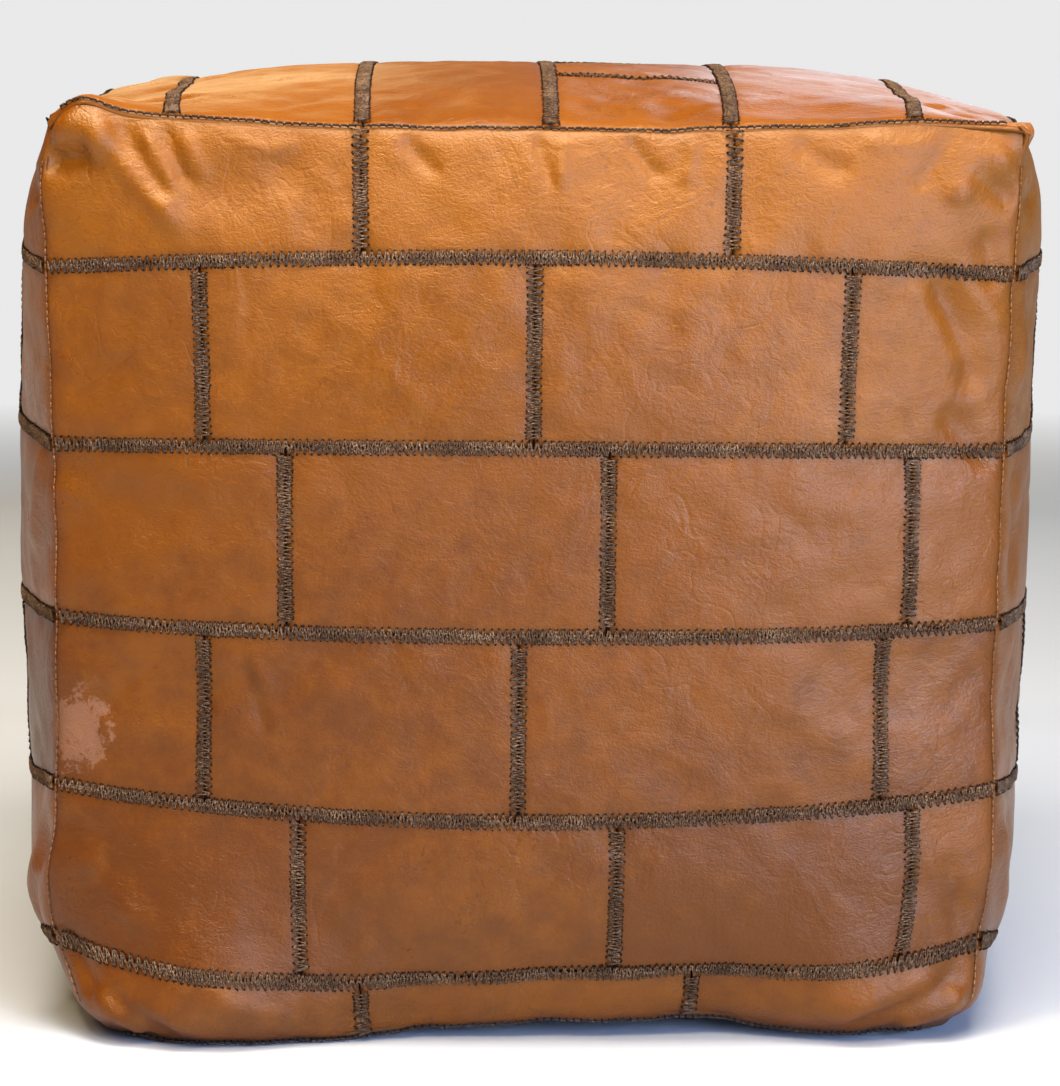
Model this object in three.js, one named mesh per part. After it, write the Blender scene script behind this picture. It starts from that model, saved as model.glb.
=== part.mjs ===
// A square leather pouf: a patchwork cover of leather courses, its stitching, a zipped base,
// a cotton lining bag and the filling. Millimetres, +Z up, origin on the floor under the middle.
import * as THREE from 'three';

// Driving dimensions
const HALF_WIDTH = 230;       // middle to the corner of the cover, left to right and front to back
const HALF_HEIGHT = 220.5;
const SIDE_BULGE = 25.5;      // left and right faces stand this far proud of their edges
const FRONT_BULGE = 30;       // and the front and back faces
const CROWN = 17;             // rise of the top face over its corners
const BULGE_POWER = 3;        // higher is flatter in the middle, with rounder shoulders
const EDGE_WAIST = 5;         // upright edges draw in at mid height
const EDGE_BOW = 11;          // level edges bow outwards between their corners
const EDGE_SAG = 8.5;         // top edges dip between their corners
const TAPER = 0.0104;         // slightly wider at the top than at the base
const TUCK = 8;               // base edges draw in under the weight
const CORNER_TUCK = 21;       // and the base corners draw in more
const TUCK_POWER = 1.6;       // higher draws them in later and more suddenly
const BASE_LIFT = 3;          // base edges stand clear of the floor
const TUCK_START = 0.68;      // share of the half width where the base starts to lift
const TUCK_TOP = 0.62;        // share of the half height where the sides start to tuck in
const LEATHER = 1.8;
const LINING_DEPTH = 7;       // lining bag's outer face under the leather's outer face
const LINING = 1;
const FILLING_DEPTH = 9;
const THREAD_LOW = 0.6;       // the stitching stands over the leather between these heights
const THREAD_HIGH = 1.5;
const BAND_HALF = 4.2;        // half width of a zigzag row
const JOINT_HALF = 0.3;       // half of the gap between two sewn pieces
const CORNER_HALF = 0.7;      // and where two faces meet along an edge of the cover
const STITCH_MARGIN = 4;      // stitching stops short of the cover's edges

// Zip in the base, along X
const ZIP_HALF = 160;
const SLIT_HALF = 10;
const CHANNEL_HALF = 18;      // flat roof of the channel that keeps the zip off the floor
const CHANNEL_SLOPE = 12;
const CHANNEL_DEPTH = 7;
const CHANNEL_HALF_LENGTH = 184;
const CHAIN_Z = 9.5;
const TAPE_INNER = 3.4;
const TAPE_OUTER = 16.5;
const TAPE_THICK = 0.6;
const TOOTH_INNER = 0.95;
const TOOTH_OUTER = 3.1;
const TOOTH_HEIGHT = 2;
const TOOTH_PITCH = 9.5;
const SLIDER_LENGTH = 12;
const SLIDER_HALF = 4.6;
const SLIDER_PLATE = 1.2;
const SLIDER_SLOT = 2.8;
const SLIDER_NECK = 0.6;
const SLIDER_X = 145;
const PULL_LENGTH = 24;
const PULL_HALF = 3.4;
const PULL_THICK = 1.2;
const STOP_X = 154.5;
const STOP_LENGTH = 3;
const CHAIN_HALF = 152;

// Bricks: seam places along each course, from the middle of the face
const BRICK = 155;
const COURSE_EDGES = [158, 66, -25.5, -114, -193];   // level zigzag rows, measured from mid height
const FRONT_SEAMS = [[-79, 94], [-155, 2, 151], [-116, 38, 184], [-156, -4, 172], [-110, 44, 188], [-81, 84]];
const TOP_EDGES = [-166, -78, 9, 92, 177];         // zigzag rows from front to back
const TOP_SEAMS = [[96], [150], [139], [-120, 60], [142], [88]];

const LEATHER_TONES = [0xb4682c, 0xad6027, 0xb9702f, 0xa85c26, 0xb06429, 0xa4582a];
const group = new THREE.Group();

function finish(color, roughness, metalness) {
  return new THREE.MeshStandardMaterial({ color, roughness, metalness });
}

const threadFinish = finish(0x4a2a1c, 0.8, 0);
const liningFinish = finish(0xe6dcc4, 0.95, 0);
const fillingFinish = finish(0xd9d2c4, 1, 0);
const tapeFinish = finish(0x5b3a24, 0.9, 0);
const zipMetal = finish(0xb08d57, 0.35, 1);

function addPiece(name, geometry, material) {
  geometry.computeVertexNormals();
  const mesh = new THREE.Mesh(geometry, material);
  mesh.name = name;
  group.add(mesh);
  return mesh;
}

// ---- The cover's surface ----

function smooth(t) {
  const s = Math.min(Math.max(t, 0), 1);
  return s * s * (3 - 2 * s);
}

function bulge(a, b, height, waist, bow) {
  const dome = (1 - Math.abs(a) ** BULGE_POWER) * (1 - Math.abs(b) ** BULGE_POWER);
  return height * dome - waist * a * a * (1 - b * b) + bow * b * b * (1 - a * a);
}

// (x, y, z) is a point on the faces of a cube from -1 to 1; the result is the cover's surface
// there, moved outwards by `out`.
function coverPoint([x, y, z], out) {
  const low = Math.max((-z - TUCK_TOP) / (1 - TUCK_TOP), 0) ** TUCK_POWER;
  const rim = smooth((Math.max(Math.abs(x), Math.abs(y)) - TUCK_START) / (1 - TUCK_START));
  const inwards = (TUCK + CORNER_TUCK * x * x * y * y) * low * rim;
  const shrink = (1 + TAPER * z) * (1 - inwards / HALF_WIDTH);
  const px = x * (HALF_WIDTH + out + bulge(y, z, SIDE_BULGE, EDGE_WAIST, EDGE_BOW)) * shrink;
  const py = y * (HALF_WIDTH + out + bulge(x, z, FRONT_BULGE, EDGE_WAIST, EDGE_BOW)) * shrink;
  const crown = z > 0 ? bulge(x, y, CROWN, EDGE_SAG, -EDGE_SAG) : 0;
  const lift = BASE_LIFT * low * rim;
  return [px, py, HALF_HEIGHT + z * (HALF_HEIGHT + out + crown) + lift + channel(px, py, z)];
}

function channel(px, py, z) {
  const across = (CHANNEL_HALF + CHANNEL_SLOPE - Math.abs(py)) / CHANNEL_SLOPE;
  const along = (CHANNEL_HALF_LENGTH + CHANNEL_SLOPE - Math.abs(px)) / CHANNEL_SLOPE;
  const share = Math.min(Math.max(Math.min(across, along), 0), 1);
  return z < -0.99 ? CHANNEL_DEPTH * share : 0;
}

// Each face gives the cube point of its own across and up coordinates, seen from outside.
const FACES = {
  front: (u, v) => [u, -1, v],
  back: (u, v) => [-u, 1, v],
  left: (u, v) => [-1, -u, v],
  right: (u, v) => [1, u, v],
  top: (u, v) => [u, v, 1],
  base: (u, v) => [u, -v, -1],
};

// ---- Thick pieces cut from the cover's surface ----

// Makes one closed body from the cells of a grid of lines on one face or on several: each cell
// for which `keep` is true gets an outer and an inner wall, and every free edge is closed.
function thickPiece(patches, inner, outer) {
  const keys = new Map();
  const points = [];
  const quads = [];
  const vertex = (p) => {
    const key = p.map((c) => Math.round(c * 1e6)).join();
    if (!keys.has(key)) {
      keys.set(key, points.length);
      points.push(p);
    }
    return keys.get(key);
  };
  for (const { face, across, up, keep } of patches) {
    for (let i = 0; i + 1 < across.length; i += 1) {
      for (let j = 0; j + 1 < up.length; j += 1) {
        if (!keep(i, j)) continue;
        const corners = [[i, j], [i + 1, j], [i + 1, j + 1], [i, j + 1]];
        quads.push(corners.map(([a, b]) => vertex(FACES[face](across[a], up[b]))));
      }
    }
  }
  const count = points.length;
  const edges = new Map();
  const triangles = [];
  for (const [a, b, c, d] of quads) {
    triangles.push(a, b, c, a, c, d);
    if (inner !== null) triangles.push(a + count, c + count, b + count, a + count, d + count, c + count);
    for (const [p, q] of [[a, b], [b, c], [c, d], [d, a]]) {
      if (edges.has(`${q},${p}`)) edges.delete(`${q},${p}`);
      else edges.set(`${p},${q}`, [p, q]);
    }
  }
  for (const [p, q] of edges.values()) {
    triangles.push(q, p, p + count, q, p + count, q + count);
  }
  const positions = points.flatMap((p) => coverPoint(p, outer));
  if (inner !== null) positions.push(...points.flatMap((p) => coverPoint(p, inner)));
  const geometry = new THREE.BufferGeometry();
  geometry.setAttribute('position', new THREE.Float32BufferAttribute(positions, 3));
  geometry.setIndex(triangles);
  return geometry;
}

const always = () => true;
const gap = JOINT_HALF / HALF_WIDTH;
const bandHalf = BAND_HALF / HALF_WIDTH;
const margin = STITCH_MARGIN / HALF_WIDTH;
const faceEnd = 1 - CORNER_HALF / HALF_WIDTH;
const edgeLines = [-faceEnd, -0.9, -TUCK_START, -0.35, 0, 0.35, TUCK_START, 0.9, faceEnd];

function turn(point) {
  return (u, v) => point(v, u);
}

// A course's long edges, as shares of the half width, from first to last.
function courseSpans(rows) {
  const limits = [1, ...rows, -1];
  return rows.concat(-1).map((low, k) => [low, limits[k]]);
}

// One strip of leather bricks between two zigzag rows.
function addCourse(name, face, [low, high], upright, tone) {
  const from = Math.max(low + gap, -faceEnd);
  const to = Math.min(high - gap, faceEnd);
  const lines = [from, (low + high) / 2, to];
  const patch = upright
    ? { face, across: lines, up: edgeLines, keep: always }
    : { face, across: edgeLines, up: lines, keep: always };
  addPiece(name, thickPiece([patch], -LEATHER, 0), finish(LEATHER_TONES[tone], 0.42, 0));
}

// All the zigzag rows of one face, joined by the short seams between the bricks.
function addStitching(name, face, rows, seams, upright) {
  const spans = courseSpans(rows);
  const shortSeams = seams.map((places) => places.map((place) => place / HALF_WIDTH));
  const along = [-1 + margin, 1 - margin, ...edgeLines.slice(1, -1)];
  shortSeams.flat().forEach((place) => along.push(place - bandHalf, place + bandHalf));
  const alongLines = [...new Set(along)].sort((a, b) => a - b);
  const acrossLines = [-1 + margin, 1 - margin];
  rows.forEach((row) => acrossLines.push(row - bandHalf, row + bandHalf));
  spans.forEach(([low, high]) => acrossLines.push((low + high) / 2));
  acrossLines.sort((a, b) => a - b);
  const inRow = (t) => rows.some((row) => Math.abs(row - t) < bandHalf);
  const courseOf = (t) => spans.findIndex(([low, high]) => t > low && t < high);
  const inSeam = (s, t) => shortSeams[courseOf(t)].some((place) => Math.abs(place - s) < bandHalf);
  const keepCell = (i, j) => {
    const s = (alongLines[i] + alongLines[i + 1]) / 2;
    const t = (acrossLines[j] + acrossLines[j + 1]) / 2;
    return inRow(t) || inSeam(s, t);
  };
  const patch = upright
    ? { face, across: acrossLines, up: alongLines, keep: turn(keepCell) }
    : { face, across: alongLines, up: acrossLines, keep: keepCell };
  addPiece(name, thickPiece([patch], THREAD_LOW, THREAD_HIGH), threadFinish);
}

function staggeredSeams(shift) {
  return COURSE_EDGES.concat(0).map((_, course) => {
    const start = (course % 2 ? -BRICK : -BRICK / 2) + shift;
    return [0, 1, 2].map((k) => start + k * BRICK).filter((place) => Math.abs(place) < HALF_WIDTH - 20);
  });
}

function addPatchworkFace(face, rows, seams, upright) {
  courseSpans(rows).forEach((span, k) => {
    addCourse(`${face}_course_${k + 1}`, face, span, upright, (k * 2 + face.length) % LEATHER_TONES.length);
  });
  addStitching(`${face}_stitching`, face, rows, seams, upright);
}

const levelRows = COURSE_EDGES.map((height) => height / HALF_HEIGHT);
addPatchworkFace('front', levelRows, FRONT_SEAMS, false);
addPatchworkFace('back', levelRows, staggeredSeams(8), false);
addPatchworkFace('left', levelRows, staggeredSeams(-22), false);
addPatchworkFace('right', levelRows, staggeredSeams(14), false);
const topRows = TOP_EDGES.map((place) => place / HALF_WIDTH).reverse();
addPatchworkFace('top', topRows, [...TOP_SEAMS].reverse(), true);

// ---- Base panels, either side of the zip ----

const baseHalfWidth = HALF_WIDTH + EDGE_BOW;
const slitLine = SLIT_HALF / baseHalfWidth;
const roofLine = CHANNEL_HALF / baseHalfWidth;
const slopeLine = (CHANNEL_HALF + CHANNEL_SLOPE) / baseHalfWidth;
const zipLine = ZIP_HALF / baseHalfWidth;
const roofEnd = CHANNEL_HALF_LENGTH / baseHalfWidth;
const slopeEnd = (CHANNEL_HALF_LENGTH + CHANNEL_SLOPE) / baseHalfWidth;

function addBasePanel(name, side) {
  const ends = [zipLine, roofEnd, slopeEnd];
  const across = [...edgeLines, ...ends, ...ends.map((e) => -e)].sort((a, b) => a - b);
  const up = [gap, slitLine, roofLine, slopeLine, ...edgeLines.filter((line) => line > 0)];
  const keep = (i, j) => {
    const middle = Math.abs(across[i] + across[i + 1]) / 2;
    const fromZip = side > 0 ? j : up.length - 2 - j;
    return fromZip > 0 || middle > zipLine;
  };
  const upLines = side > 0 ? up : up.map((v) => -v).reverse();
  const patch = { face: 'base', across, up: upLines, keep };
  addPiece(name, thickPiece([patch], -LEATHER, 0), finish(0x9a552a, 0.5, 0));
}

addBasePanel('base_panel_front', 1);
addBasePanel('base_panel_back', -1);

// ---- Stitching along the cover's twelve edges ----

const STRAND_RISE = 1.7;
const STRAND_HALF = 0.7;
const STRAND_END = 0.955;
const STRAND_STEP = 0.01;

function addStrand(name, edgePoint, lines) {
  const inside = lines.filter((line) => Math.abs(line) < STRAND_END - STRAND_STEP);
  const places = [-STRAND_END, ...inside, STRAND_END];
  const positions = [];
  for (const t of places) {
    const p = edgePoint(t);
    const low = new THREE.Vector3(...coverPoint(p, STRAND_RISE - STRAND_HALF));
    const high = new THREE.Vector3(...coverPoint(p, STRAND_RISE + STRAND_HALF));
    const ahead = new THREE.Vector3(...coverPoint(edgePoint(t + STRAND_STEP), STRAND_RISE));
    const behind = new THREE.Vector3(...coverPoint(edgePoint(t - STRAND_STEP), STRAND_RISE));
    const along = ahead.sub(behind).normalize();
    const outwards = high.clone().sub(low);
    const side = outwards.clone().cross(along).normalize().multiplyScalar(STRAND_HALF);
    const middle = low.clone().add(high).multiplyScalar(0.5);
    for (const corner of [low, middle.clone().add(side), high, middle.clone().sub(side)]) {
      positions.push(...corner.toArray());
    }
  }
  const triangles = [0, 2, 1, 0, 3, 2];
  const last = (places.length - 1) * 4;
  triangles.push(last, last + 1, last + 2, last, last + 2, last + 3);
  for (let k = 0; k + 1 < places.length; k += 1) {
    for (let c = 0; c < 4; c += 1) {
      const a = k * 4 + c;
      const b = k * 4 + (c + 1) % 4;
      triangles.push(a, b, b + 4, a, b + 4, a + 4);
    }
  }
  const geometry = new THREE.BufferGeometry();
  geometry.setAttribute('position', new THREE.Float32BufferAttribute(positions, 3));
  geometry.setIndex(triangles);
  addPiece(name, geometry, threadFinish);
}

const heightLines = courseSpans(levelRows).flatMap(([low, high]) => [(low + high) / 2, low]).reverse();
const SIDES = { front: [0, -1], back: [0, 1], left: [-1, 0], right: [1, 0] };
for (const [side, [sx, sy]] of Object.entries(SIDES)) {
  const level = (z) => (t) => (sx ? [sx, t, z] : [t, sy, z]);
  addStrand(`seam_top_${side}`, level(1), edgeLines);
  addStrand(`seam_base_${side}`, level(-1), edgeLines);
}
for (const [depth, sy] of [['front', -1], ['back', 1]]) {
  for (const [side, sx] of [['left', -1], ['right', 1]]) {
    addStrand(`seam_corner_${depth}_${side}`, (t) => [sx, sy, t], heightLines);
  }
}

// ---- Lining bag and filling ----

const innerX = [-1, -slopeEnd, -roofEnd, -0.4, 0, 0.4, roofEnd, slopeEnd, 1];
const innerY = [-1, -0.8, -0.4, -slopeLine, -roofLine, roofLine, slopeLine, 0.4, 0.8, 1];
const innerZ = [-1, -0.85, -0.45, 0, 0.5, 0.88, 1];

function wholeSkin(keepBase) {
  return [
    { face: 'front', across: innerX, up: innerZ, keep: always },
    { face: 'back', across: innerX, up: innerZ, keep: always },
    { face: 'left', across: innerY, up: innerZ, keep: always },
    { face: 'right', across: innerY, up: innerZ, keep: always },
    { face: 'top', across: innerX, up: innerY, keep: always },
    { face: 'base', across: innerX, up: innerY, keep: keepBase },
  ];
}

// The lining bag is open along the zip, where the filling goes in.
const openAtZip = (i, j) => Math.abs(innerX[i] + innerX[i + 1]) / 2 > roofEnd
  || Math.abs(innerY[j] + innerY[j + 1]) / 2 > roofLine;
const liningShell = thickPiece(wholeSkin(openAtZip), -LINING_DEPTH - LINING, -LINING_DEPTH);
addPiece('lining_bag', liningShell, liningFinish);
addPiece('filling', thickPiece(wholeSkin(always), null, -FILLING_DEPTH), fillingFinish);

// ---- Zip ----

function outline(points) {
  return new THREE.Shape(points.map(([a, b]) => new THREE.Vector2(a, b)));
}

// Extrudes an outline drawn in Y and Z along X.
function alongX(shape, length, x) {
  const geometry = new THREE.ExtrudeGeometry(shape, { depth: length, bevelEnabled: false });
  geometry.rotateX(Math.PI / 2);
  geometry.rotateZ(Math.PI / 2);
  geometry.translate(x - length / 2, 0, 0);
  return geometry;
}

// Extrudes an outline drawn in X and Y upwards from a height.
function upwards(shape, thickness, z) {
  const geometry = new THREE.ExtrudeGeometry(shape, { depth: thickness, bevelEnabled: false, curveSegments: 8 });
  geometry.translate(0, 0, z);
  return geometry;
}

// Teeth stand in a row on a cord, so one half of the chain is a comb with its teeth inwards.
function combOutline(side) {
  const points = [[-CHAIN_HALF, side * TOOTH_OUTER]];
  const teeth = Math.round((2 * CHAIN_HALF) / TOOTH_PITCH);
  const step = (2 * CHAIN_HALF) / teeth;
  const root = (TOOTH_INNER + TOOTH_OUTER) / 2;
  for (let k = 0; k < teeth; k += 1) {
    const x = -CHAIN_HALF + k * step;
    if (k > 0) points.push([x, side * root]);
    points.push([x, side * TOOTH_INNER], [x + step / 2, side * TOOTH_INNER], [x + step / 2, side * root]);
  }
  points.push([CHAIN_HALF, side * root], [CHAIN_HALF, side * TOOTH_OUTER]);
  return outline(points);
}

for (const [name, side] of [['front', -1], ['back', 1]]) {
  const length = 2 * (ZIP_HALF + 5);
  const tape = outline([[TAPE_INNER, 0], [TAPE_OUTER, 0], [TAPE_OUTER, TAPE_THICK], [TAPE_INNER, TAPE_THICK]]);
  const tapeBody = alongX(tape, length, 0);
  if (side < 0) tapeBody.rotateZ(Math.PI);
  tapeBody.translate(0, 0, CHAIN_Z - TAPE_THICK / 2);
  addPiece(`zip_tape_${name}`, tapeBody, tapeFinish);
  addPiece(`zip_teeth_${name}`, upwards(combOutline(side), TOOTH_HEIGHT, CHAIN_Z - TOOTH_HEIGHT / 2), zipMetal);
}

const stopShape = outline([[-TOOTH_OUTER, -1], [TOOTH_OUTER, -1], [TOOTH_OUTER, 1], [-TOOTH_OUTER, 1]]);
for (const [name, x] of [['zip_stop_left', -STOP_X], ['zip_stop_right', STOP_X]]) {
  const stop = alongX(stopShape, STOP_LENGTH, x);
  stop.translate(0, 0, CHAIN_Z);
  addPiece(name, stop, zipMetal);
}

// The slider is two plates on a wedge, with a small bridge below for the pull's pin.
const plateTop = SLIDER_SLOT / 2 + SLIDER_PLATE;
const BRIDGE_DROP = 2.6;
const PIN_GAP = 0.5;
const sliderShape = outline([
  [-SLIDER_HALF, plateTop], [-SLIDER_HALF, SLIDER_SLOT / 2], [-SLIDER_NECK, SLIDER_SLOT / 2],
  [-SLIDER_NECK, -SLIDER_SLOT / 2], [-SLIDER_HALF, -SLIDER_SLOT / 2], [-SLIDER_HALF, -plateTop],
  [-SLIDER_NECK - 0.2, -plateTop], [-SLIDER_NECK - 0.2, -plateTop - BRIDGE_DROP],
  [SLIDER_NECK + 0.2, -plateTop - BRIDGE_DROP], [SLIDER_NECK + 0.2, -plateTop],
  [SLIDER_HALF, -plateTop], [SLIDER_HALF, -SLIDER_SLOT / 2], [SLIDER_NECK, -SLIDER_SLOT / 2],
  [SLIDER_NECK, SLIDER_SLOT / 2], [SLIDER_HALF, SLIDER_SLOT / 2], [SLIDER_HALF, plateTop],
]);
const slider = alongX(sliderShape, SLIDER_LENGTH, SLIDER_X);
slider.translate(0, 0, CHAIN_Z);
addPiece('zip_slider', slider, zipMetal);

// The pull is a fork either side of the slider's bridge, with a slotted grip.
const PULL_NOSE = 1.5;
const pullNear = SLIDER_NECK + 0.2 + PIN_GAP;
const pullRoot = SLIDER_LENGTH / 2 + 1;
const pullShape = outline([
  [PULL_NOSE, pullNear], [PULL_NOSE, PULL_HALF], [-PULL_LENGTH, PULL_HALF], [-PULL_LENGTH, -PULL_HALF],
  [PULL_NOSE, -PULL_HALF], [PULL_NOSE, -pullNear], [-pullRoot, -pullNear], [-pullRoot, pullNear],
]);
const gripHole = new THREE.Path();
gripHole.absellipse(-PULL_LENGTH + 7, 0, 4, 1.6, 0, 2 * Math.PI, true, 0);
pullShape.holes.push(gripHole);
const pullZ = CHAIN_Z - plateTop - BRIDGE_DROP;
const pull = upwards(pullShape, PULL_THICK, pullZ);
pull.translate(SLIDER_X, 0, 0);
addPiece('zip_pull', pull, zipMetal);

export default group;
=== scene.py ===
"""A square patchwork leather pouf: stuffed cover, zigzag stitching, zipped base."""
import math

import bpy
import numpy as np
from mathutils import Matrix, Vector


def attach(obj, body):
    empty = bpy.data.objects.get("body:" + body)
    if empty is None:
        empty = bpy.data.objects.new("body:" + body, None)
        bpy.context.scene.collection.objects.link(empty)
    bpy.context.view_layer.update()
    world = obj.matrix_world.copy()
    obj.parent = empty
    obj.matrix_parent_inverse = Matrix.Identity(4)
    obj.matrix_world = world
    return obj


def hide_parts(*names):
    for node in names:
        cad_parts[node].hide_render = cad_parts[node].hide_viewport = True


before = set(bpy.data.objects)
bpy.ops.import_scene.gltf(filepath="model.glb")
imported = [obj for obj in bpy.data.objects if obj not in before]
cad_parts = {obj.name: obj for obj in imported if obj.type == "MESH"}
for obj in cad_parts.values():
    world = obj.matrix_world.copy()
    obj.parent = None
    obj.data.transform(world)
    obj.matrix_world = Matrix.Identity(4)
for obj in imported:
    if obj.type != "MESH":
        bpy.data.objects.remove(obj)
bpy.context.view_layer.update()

MM = 0.001

# ---- Driving dimensions, in millimetres, the same as the CAD model's ----

HALF_WIDTH = 230.0
HALF_HEIGHT = 220.5
SIDE_BULGE = 25.5
FRONT_BULGE = 30.0
CROWN = 17.0
BULGE_POWER = 3
EDGE_WAIST = 5.0
EDGE_BOW = 11.0
EDGE_SAG = 8.5
TAPER = 0.0104
TUCK = 8.0
CORNER_TUCK = 21.0
TUCK_POWER = 1.6
BASE_LIFT = 3.0
TUCK_START = 0.68
TUCK_TOP = 0.62
LEATHER = 1.8

ZIP_HALF = 160.0
SLIT_HALF = 10.0
CHANNEL_HALF = 18.0
CHANNEL_SLOPE = 12.0
CHANNEL_DEPTH = 7.0
CHANNEL_HALF_LENGTH = 184.0

BRICK = 155.0
COURSE_EDGES = (158.0, 66.0, -25.5, -114.0, -193.0)
FRONT_SEAMS = ((-79, 94), (-155, 2, 151), (-116, 38, 184), (-156, -4, 172), (-110, 44, 188), (-81, 84))
TOP_EDGES = (-166.0, -78.0, 9.0, 92.0, 177.0)
TOP_SEAMS = ((96,), (150,), (139,), (-120, 60), (142,), (88,))

FACES = ("front", "back", "left", "right", "top", "base")
SIDE_FACES = ("front", "back", "left", "right")


def half_up(face):
    """Half of a face's height in its own up direction."""
    return HALF_HEIGHT if face in SIDE_FACES else HALF_WIDTH


# ---- The cover's surface ----

def unit(vectors):
    """Vectors scaled to a length of one."""
    return vectors / np.linalg.norm(vectors, axis=-1, keepdims=True)


def new_object(name, data):
    """An object in the scene that shows the data."""
    item = bpy.data.objects.new(name, data)
    bpy.context.scene.collection.objects.link(item)
    return item


def cell_corners(ids):
    """The four corner numbers of every cell of a grid of vertex numbers."""
    return np.stack([ids[:-1, :-1], ids[1:, :-1], ids[1:, 1:], ids[:-1, 1:]], -1)


def smooth(t):
    s = np.clip(t, 0.0, 1.0)
    return s * s * (3 - 2 * s)


def bulge(a, b, height, waist, bow):
    dome = (1 - np.abs(a) ** BULGE_POWER) * (1 - np.abs(b) ** BULGE_POWER)
    return height * dome - waist * a * a * (1 - b * b) + bow * b * b * (1 - a * a)


def cube_point(face, u, v):
    one = np.ones_like(u)
    return {
        "front": (u, -one, v), "back": (-u, one, v), "left": (-one, -u, v),
        "right": (one, u, v), "top": (u, v, one), "base": (u, -v, -one),
    }[face]


def channel(px, py):
    across = (CHANNEL_HALF + CHANNEL_SLOPE - np.abs(py)) / CHANNEL_SLOPE
    along = (CHANNEL_HALF_LENGTH + CHANNEL_SLOPE - np.abs(px)) / CHANNEL_SLOPE
    return CHANNEL_DEPTH * np.clip(np.minimum(across, along), 0, 1)


def cover_point(face, u, v, out=0.0):
    """The plain cover's surface in millimetres, moved outwards by out."""
    x, y, z = cube_point(face, u, v)
    low = np.maximum((-z - TUCK_TOP) / (1 - TUCK_TOP), 0) ** TUCK_POWER
    rim = smooth((np.maximum(np.abs(x), np.abs(y)) - TUCK_START) / (1 - TUCK_START))
    inwards = (TUCK + CORNER_TUCK * x * x * y * y) * low * rim
    shrink = (1 + TAPER * z) * (1 - inwards / HALF_WIDTH)
    px = x * (HALF_WIDTH + out + bulge(y, z, SIDE_BULGE, EDGE_WAIST, EDGE_BOW)) * shrink
    py = y * (HALF_WIDTH + out + bulge(x, z, FRONT_BULGE, EDGE_WAIST, EDGE_BOW)) * shrink
    crown = np.where(z > 0, bulge(x, y, CROWN, EDGE_SAG, -EDGE_SAG), 0)
    pz = HALF_HEIGHT + z * (HALF_HEIGHT + out + crown) + BASE_LIFT * low * rim
    if face == "base":
        pz = pz + channel(px, py)
    return np.stack([px, py, pz], -1)


COURSE_BOW = 0.094       # the level courses curve up or down towards the face's sides
BOW_CENTRE = 0.03
BOW_END_POWER = 16       # and straighten again just at the top and bottom edges


def course_line(face, u, v):
    """Where a point of the flat patchwork lies on the face."""
    if face not in SIDE_FACES:
        return v
    return v - COURSE_BOW * (v - BOW_CENTRE) * u * u * (1 - np.abs(v) ** BOW_END_POWER)


# ---- Cloth simulation: the creases that a stuffed cover of flat panels gets ----

SIM_CELLS = 36
SIM_FRAMES = 16
SIM_PRESSURE = 3.0
SIM_JITTER = 0.0006      # metres, so that the flat panels buckle
SIM_DROP = 0.003         # metres above the ground at the start
CREASE_GAIN = 0.45       # share of the simulated creases that the faces keep
EDGE_GAIN = 0.3          # and that the cover's edges keep
CREASE_CAP = 5.0         # no crease moves the cover further than this
SEED = 7


def box_grid(cells):
    """A closed box of square grids, and each face's vertex numbers."""
    t = np.linspace(-1, 1, cells + 1)
    u, v = np.meshgrid(t, t, indexing="ij")
    points, numbers, index = [], {}, {}
    for face in FACES:
        grid = np.stack(cube_point(face, u, v), -1).reshape(-1, 3)
        ids = []
        for p in grid:
            key = tuple(np.round(p * 1000).astype(int))
            if key not in numbers:
                numbers[key] = len(points)
                points.append(p)
            ids.append(numbers[key])
        index[face] = np.array(ids).reshape(cells + 1, cells + 1)
    return np.array(points), index


def inflate():
    """Each face's grid after the flat-panelled cover is blown up by its filling, in millimetres."""
    box, index = box_grid(SIM_CELLS)
    size = np.array([HALF_WIDTH, HALF_WIDTH, HALF_HEIGHT]) * MM
    rng = np.random.default_rng(SEED)
    start = box * size + rng.normal(0, SIM_JITTER, box.shape)
    start[:, 2] += size[2] + SIM_DROP
    quads = [cell_corners(ids).reshape(-1, 4) for ids in index.values()]
    mesh = bpy.data.meshes.new("sim_cover")
    mesh.from_pydata(start.tolist(), [], np.concatenate(quads).tolist())
    cover = new_object("sim_cover", mesh)
    ground_mesh = bpy.data.meshes.new("sim_ground")
    ground_mesh.from_pydata([(-2, -2, 0), (2, -2, 0), (2, 2, 0), (-2, 2, 0)], [], [(0, 1, 2, 3)])
    ground = new_object("sim_ground", ground_mesh)
    scene = bpy.context.scene
    ground.modifiers.new("ground", "COLLISION")
    ground.collision.thickness_outer = 0.002
    ground.collision.cloth_friction = 15
    cloth = cover.modifiers.new("cloth", "CLOTH")
    settings = cloth.settings
    settings.quality = 6
    settings.mass = 0.0006
    settings.air_damping = 2
    settings.tension_stiffness = 40
    settings.compression_stiffness = 40
    settings.shear_stiffness = 20
    settings.bending_stiffness = 0.6
    settings.use_pressure = True
    settings.uniform_pressure_force = SIM_PRESSURE
    cloth.collision_settings.distance_min = 0.002
    cloth.point_cache.frame_start = 1
    cloth.point_cache.frame_end = SIM_FRAMES + 2
    for step in range(1, SIM_FRAMES + 1):
        scene.frame_set(step)
    evaluated = cover.evaluated_get(bpy.context.evaluated_depsgraph_get())
    result = evaluated.to_mesh()
    points = np.empty(len(result.vertices) * 3, np.float32)
    result.vertices.foreach_get("co", points)
    points = points.reshape(-1, 3).astype(float) / MM
    evaluated.to_mesh_clear()
    bpy.data.objects.remove(cover)
    bpy.data.objects.remove(ground)
    scene.frame_set(1)
    return {face: points[ids] for face, ids in index.items()}


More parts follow.
